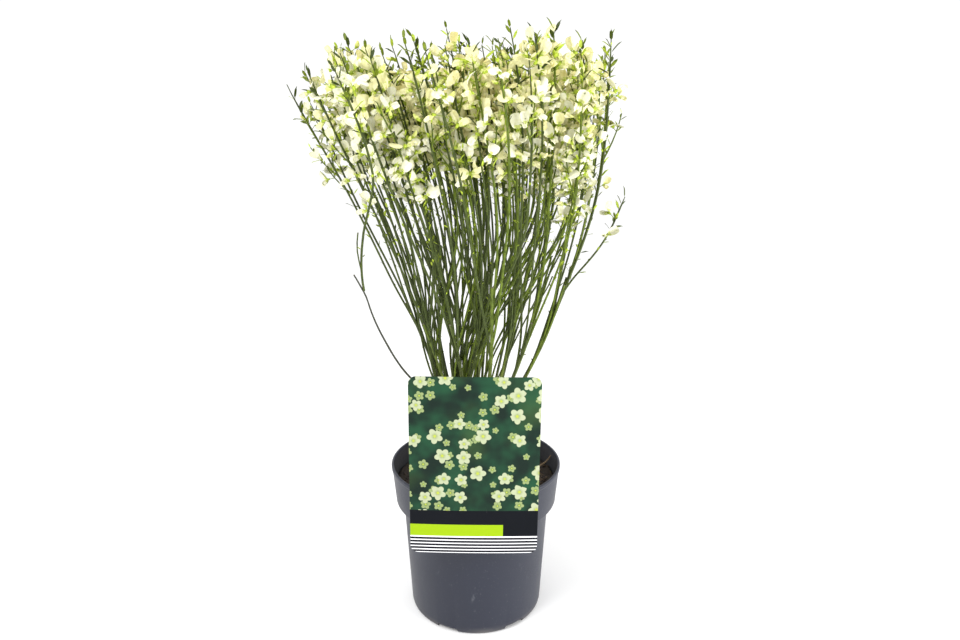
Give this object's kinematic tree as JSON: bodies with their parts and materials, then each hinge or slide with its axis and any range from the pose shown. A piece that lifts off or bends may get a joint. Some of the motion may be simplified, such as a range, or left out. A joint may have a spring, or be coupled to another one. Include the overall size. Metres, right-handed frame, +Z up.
{
  "type": "potted white broom",
  "caption": "Flowering broom shrub in a round plastic nursery pot: whippy green stems fan up from a short trunk to a crown of cream pea flowers, with a blank-faced picture card on the rim.",
  "frame": {"origin": "middle of the flat underside of the pot, on the floor", "axes": "+Z up along the pot's axis, -Y towards the picture card, +X to the right of the card seen from in front"},
  "size_m": [0.3111, 0.2929, 0.5636],
  "materials": {
    "pot_plastic": "satin, lightly scuffed",
    "soil": "coarse and moist",
    "card_print": "glossy print",
    "bark": "rough bark",
    "green_stem": "ribbed green bark",
    "bloom": "soft petals"
  },
  "bodies": {
    "root": {"pot": "pot_plastic", "soil": "soil", "picture_card": "card_print", "trunk": "bark", "bough_00": "green_stem", "bough_01": "green_stem", "bough_02": "green_stem", "bough_03": "green_stem", "bough_04": "green_stem", "bough_05": "green_stem", "bough_06": "green_stem", "bough_07": "green_stem", "bough_08": "green_stem", "bough_09": "green_stem", "bough_10": "green_stem", "bough_11": "green_stem", "bough_12": "green_stem", "bough_13": "green_stem", "bough_14": "green_stem", "bough_15": "green_stem", "bough_16": "green_stem", "bough_17": "green_stem", "bough_18": "green_stem", "bough_bowed": "green_stem", "mass_00": "bloom", "mass_01": "bloom", "mass_02": "bloom", "mass_03": "bloom", "mass_04": "bloom", "mass_05": "bloom", "mass_06": "bloom", "mass_07": "bloom", "mass_08": "bloom", "mass_09": "bloom", "mass_10": "bloom", "mass_11": "bloom", "mass_12": "bloom", "mass_13": "bloom", "mass_14": "bloom", "mass_15": "bloom", "mass_16": "bloom", "mass_17": "bloom", "mass_18": "bloom", "mass_bowed": "bloom"}
  },
  "joints": []
}
